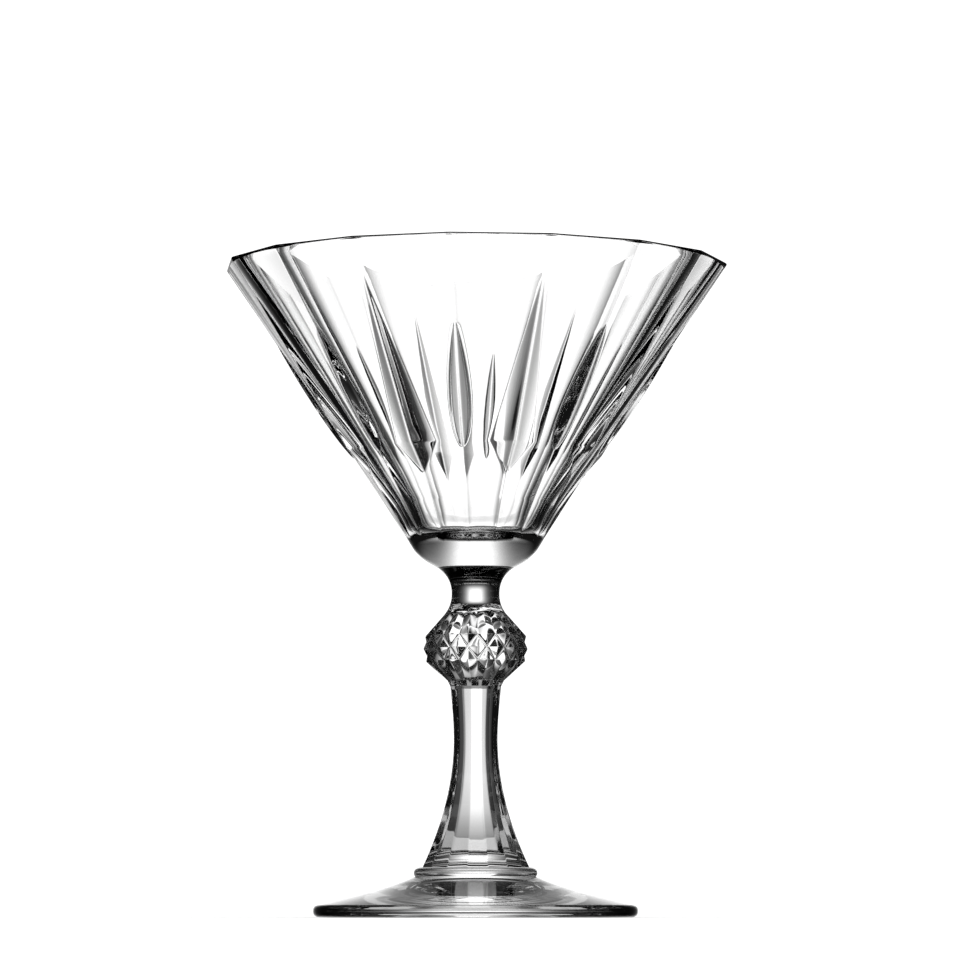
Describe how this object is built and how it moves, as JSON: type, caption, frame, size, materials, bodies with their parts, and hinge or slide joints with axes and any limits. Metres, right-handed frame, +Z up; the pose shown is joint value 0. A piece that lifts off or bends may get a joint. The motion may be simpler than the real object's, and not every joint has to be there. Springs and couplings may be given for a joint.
{
  "type": "martini glass",
  "caption": "Pressed clear stemware: a faceted conical bowl with raised kites and leaves, on a beaded baluster stem and a round foot.",
  "frame": {"origin": "centre of the foot's underside, on the surface that the glass stands on", "axes": "+Z up along the stem's axis to the rim; one of the bowl's eight kites faces -Y"},
  "size_m": [0.115, 0.115, 0.148],
  "materials": {
    "clear_glass": "fire-polished"
  },
  "bodies": {
    "root": {"bowl": "clear_glass", "neck": "clear_glass", "knop": "clear_glass", "stem": "clear_glass", "collar": "clear_glass", "foot": "clear_glass"}
  },
  "joints": []
}
